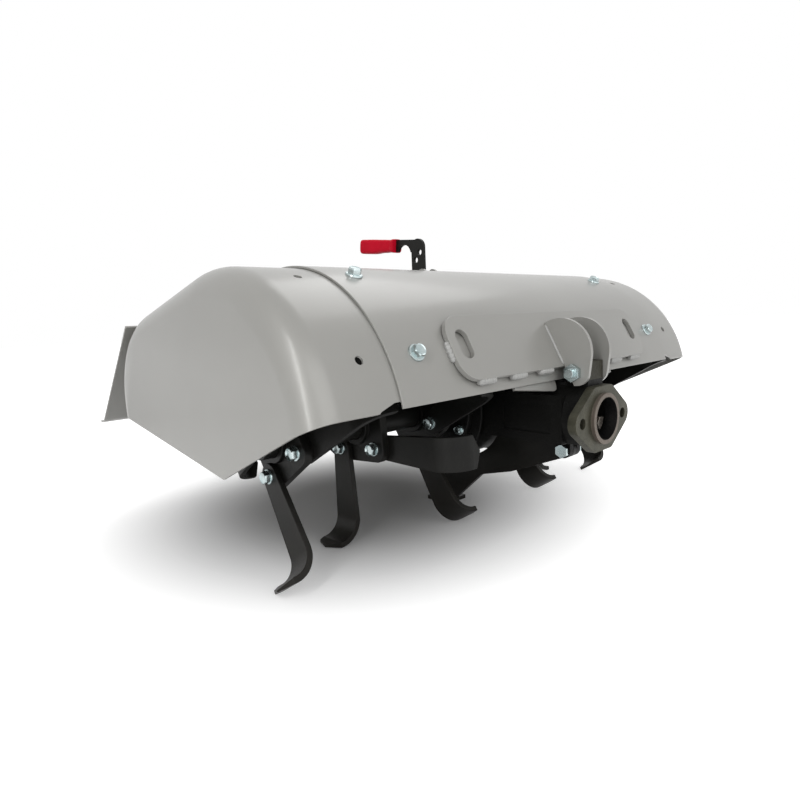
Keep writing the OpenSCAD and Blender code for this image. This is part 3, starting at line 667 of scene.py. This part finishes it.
flange, step = np.meshgrid(np.arange(len(FLANGE_X)), np.arange(TINES_EACH), indexing="ij")
flange, step = flange.ravel(), step.ravel()
side, turn = tine_turns(flange, step)
bolt_y = AXIS_Y + BOLT_UV[0] * np.cos(turn) - BOLT_UV[1] * np.sin(turn)
bolt_z = BOLT_UV[0] * np.sin(turn) + BOLT_UV[1] * np.cos(turn)
head_at = np.stack([FLANGE_X[flange] + side * (FLANGE_T / 2 + TINE_T), bolt_y, bolt_z], -1)
nut_at = np.stack([FLANGE_X[flange] - side * FLANGE_T / 2, bolt_y, bolt_z], -1)
outward = np.stack([side, 0 * side, 0 * side], -1).astype(float)
scatter("tine_bolts", TINE_BOLT, head_at, outward, "rotor")
scatter("tine_nuts", TINE_NUT, nut_at, -outward, "rotor")

spoke = np.radians((np.arange(COVER_BOLTS) + 0.5) * 360 / COVER_BOLTS)
ring = np.stack([0 * spoke, AXIS_Y + COVER_BOLT_R * np.cos(spoke), COVER_BOLT_R * np.sin(spoke)], -1)
cover_at = np.concatenate([ring + [-COVER_X, 0, 0], ring + [COVER_X, 0, 0]])
cover_out = np.repeat([[-1.0, 0, 0], [1.0, 0, 0]], COVER_BOLTS, 0)
scatter("cover_bolts", COVER_BOLT, cover_at, cover_out, "frame")
print("bolts", len(hood_bolts), len(head_at), len(cover_at))

# %% [markdown]
# The front plate is stitched to the hood with short weld beads along its lower edge, and the ears to the
# plate. A bead is a round profile carried along a line, swelling and pinching a little where each drop of
# metal froze. A bump texture could fake the ripples, but a formula puts them in the mesh, where they also
# catch the light at the rim.

# %% Weld beads
PLATE_DEG, PLATE_H = 28.0, 0.076
LOWER_EDGE = -PLATE_H / 2 - 0.0005
PLATE_OUT, EAR_OUT = 0.1865, 0.1914
BEAD_COLUMNS, BEAD_STATIONS = 16, 40
TAPER_POWER, THINNEST, RIPPLE = 8, 1e-6, 0.10
# Places along the plate, half the length along it, heights of both ends, distance out, radius and ripples
BEAD_ROWS = (
    ((-0.172, -0.115, -0.060, 0.060, 0.115, 0.172), 0.015, (LOWER_EDGE, LOWER_EDGE), PLATE_OUT, 0.0042, 7),
    ((-0.2105, 0.2105), 0.0, (0.010, -0.014), PLATE_OUT, 0.0036, 5),
    ((-0.0252, -0.0198, 0.0198, 0.0252), 0.0, (0.020, -0.036), EAR_OUT, 0.0018, 16),
)
slope = np.radians(PLATE_DEG)
plate_out = np.array([0, -np.cos(slope), np.sin(slope)])
plate_up = np.array([0, np.sin(slope), np.cos(slope)])


def bead(start, end, up, radius, ripples):
    """A half-buried bead: radius times a rounded end taper and a ripple, about a straight line."""
    along = np.linspace(0, 1, BEAD_STATIONS)[:, None]
    ahead = (end - start) / np.linalg.norm(end - start)
    across = np.cross(ahead, up)
    taper = np.sqrt(np.clip(1 - (2 * along - 1) ** TAPER_POWER, THINNEST, 1))
    swell = radius * taper * (1 + RIPPLE * np.sin(2 * np.pi * ripples * along))
    turn = np.arange(BEAD_COLUMNS) * 2 * np.pi / BEAD_COLUMNS
    ring = np.cos(turn)[None, :, None] * across + np.sin(turn)[None, :, None] * up
    return start + along[..., None] * (end - start) + swell[..., None] * ring


def on_plate(x, up, out):
    """A point by place along the plate, up along it, and distance out from the hood's centre."""
    return HOOD_CENTRE + [x, 0, 0] + up * plate_up + out * plate_out


beads = np.array([
    bead(on_plate(x - half_length, heights[0], out), on_plate(x + half_length, heights[1], out),
         plate_out, radius, ripples)
    for places, half_length, heights, out, radius, ripples in BEAD_ROWS for x in places])
bead_quads = repeated_quads(BEAD_STATIONS, BEAD_COLUMNS, len(beads))
add_piece("plate_welds", beads, bead_quads, "frame", "weld")
print("beads", len(beads))

# %% [markdown]
# The grip is a red plastic sleeve pushed onto the lever's tang, with a collar at its mouth and a swell
# towards its far end. A box with a Subdivision Surface modifier could make it, but the swell is easier to
# set as a rounded section carried along the tang, with a height and a thickness at each station.

# %% Grip
GRIP_AT, GRIP_SLOPE = np.array([0.0, 0.319, 0.245]), np.radians(6.5)
MOUTH, FAR_END = 0.0343, 0.1180
KNOTS = np.array([0.0, 0.06, 0.10, 0.35, 0.65, 1.0])
HALF_H = np.array([0.0106, 0.0106, 0.0096, 0.0104, 0.0117, 0.0117])
HALF_T = np.array([0.0102, 0.0102, 0.0094, 0.0096, 0.0102, 0.0102])
MIDDLE = np.array([-0.0025, -0.0025, -0.0025, -0.0029, -0.0037, -0.0037])
END_FROM, END_POWER, SECTION_POWER = 0.94, 2.5, 4.0
END_START = 0.1
SLEEVE_COLUMNS, BODY_STATIONS, END_STATIONS = 64, 60, 14


def eased(t, values):
    """The values at the knots, joined by smooth steps."""
    n = np.clip(np.searchsorted(KNOTS, t, "right") - 1, 0, len(KNOTS) - 2)
    part = (t - KNOTS[n]) / (KNOTS[n + 1] - KNOTS[n])
    return values[n] + (values[n + 1] - values[n]) * part**2 * (3 - 2 * part)


def sleeve():
    """A section whose fourth powers of x/a and z/b sum to 1, from the mouth to a far end that rounds off."""
    rounding = np.sin(np.linspace(END_START, np.pi / 2, END_STATIONS))
    t = np.concatenate([[0], np.linspace(0, END_FROM, BODY_STATIONS), END_FROM + (1 - END_FROM) * rounding])
    closing = np.clip((t - END_FROM) / (1 - END_FROM), 0, 1)
    size = (1 - closing**END_POWER) ** (1 / END_POWER)
    size[0] = 0
    turn = np.arange(SLEEVE_COLUMNS) * 2 * np.pi / SLEEVE_COLUMNS
    wave = np.stack([np.sin(turn), np.cos(turn)])
    across, tall = np.sign(wave) * np.abs(wave) ** (2 / SECTION_POWER)
    x = (size * eased(t, HALF_T))[:, None] * across
    up = (size * eased(t, HALF_H))[:, None] * tall + eased(t, MIDDLE)[:, None]
    along = (MOUTH + (FAR_END - MOUTH) * t)[:, None]
    c, s = np.cos(GRIP_SLOPE), np.sin(GRIP_SLOPE)
    return GRIP_AT + np.stack([x, along * c - up * s, along * s + up * c], -1)


points = sleeve()
lever_body = frame["nodes"]["lever_grip"]["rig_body"]
grip = add_piece("grip_sleeve", points, grid_quads(*points.shape[:2]), lever_body, "red_grip")
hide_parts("lever_grip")
print("grip", points.shape)
